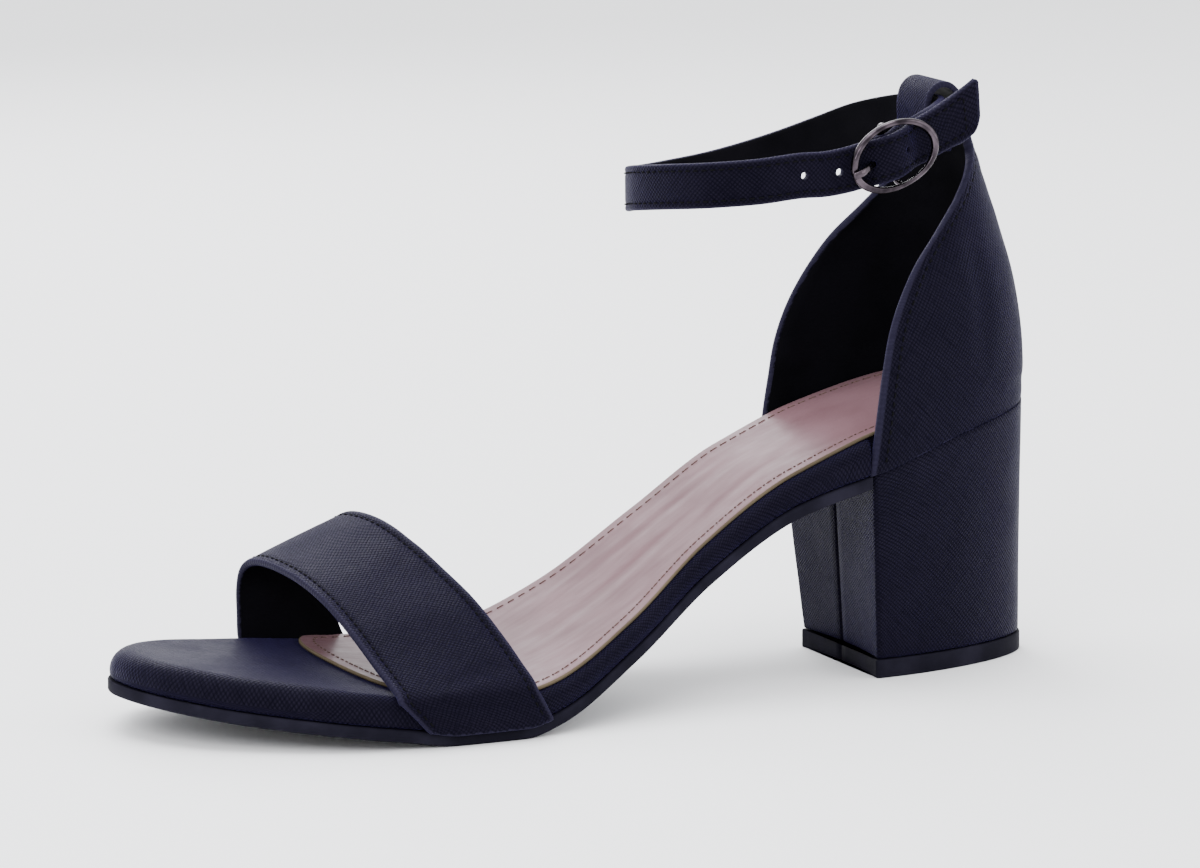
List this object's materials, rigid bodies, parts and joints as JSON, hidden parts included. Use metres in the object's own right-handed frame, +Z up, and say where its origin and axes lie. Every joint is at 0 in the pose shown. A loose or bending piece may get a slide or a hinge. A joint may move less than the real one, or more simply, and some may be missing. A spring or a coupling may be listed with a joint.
{
  "type": "block heel sandal",
  "caption": "Women's block heel sandal for the left foot: wide toe strap, closed back with a loop, and a buckled ankle strap over an open waist.",
  "frame": {"origin": "Centre of the bounding box in plan, on the floor that the shoe stands on.", "axes": "The toe points to -X and the heel to +X. The outer side of the left foot, with the buckle, is -Y, and the inner side is +Y. +Z is up."},
  "size_m": [0.2378, 0.0856, 0.147],
  "materials": {
    "outsole_rubber": "matte black rubber sheet",
    "sole_wrap": "fine crosshatch-embossed coated leather, near black with a violet cast",
    "sock_lining": "smooth satin beige-pink lining",
    "top_lift_rubber": "matte black",
    "upper_leather": "fine crosshatch-embossed coated leather, near black with a violet cast",
    "buckle_metal": "polished dark nickel"
  },
  "bodies": {
    "root": {"outsole": "outsole_rubber", "footbed": "sole_wrap", "insole_sock": "sock_lining", "heel_block": "sole_wrap", "top_lift": "top_lift_rubber", "heel_counter": "upper_leather", "toe_strap": "upper_leather", "ankle_strap": "upper_leather", "buckle_frame": "buckle_metal", "buckle_prong": "buckle_metal"}
  },
  "joints": []
}
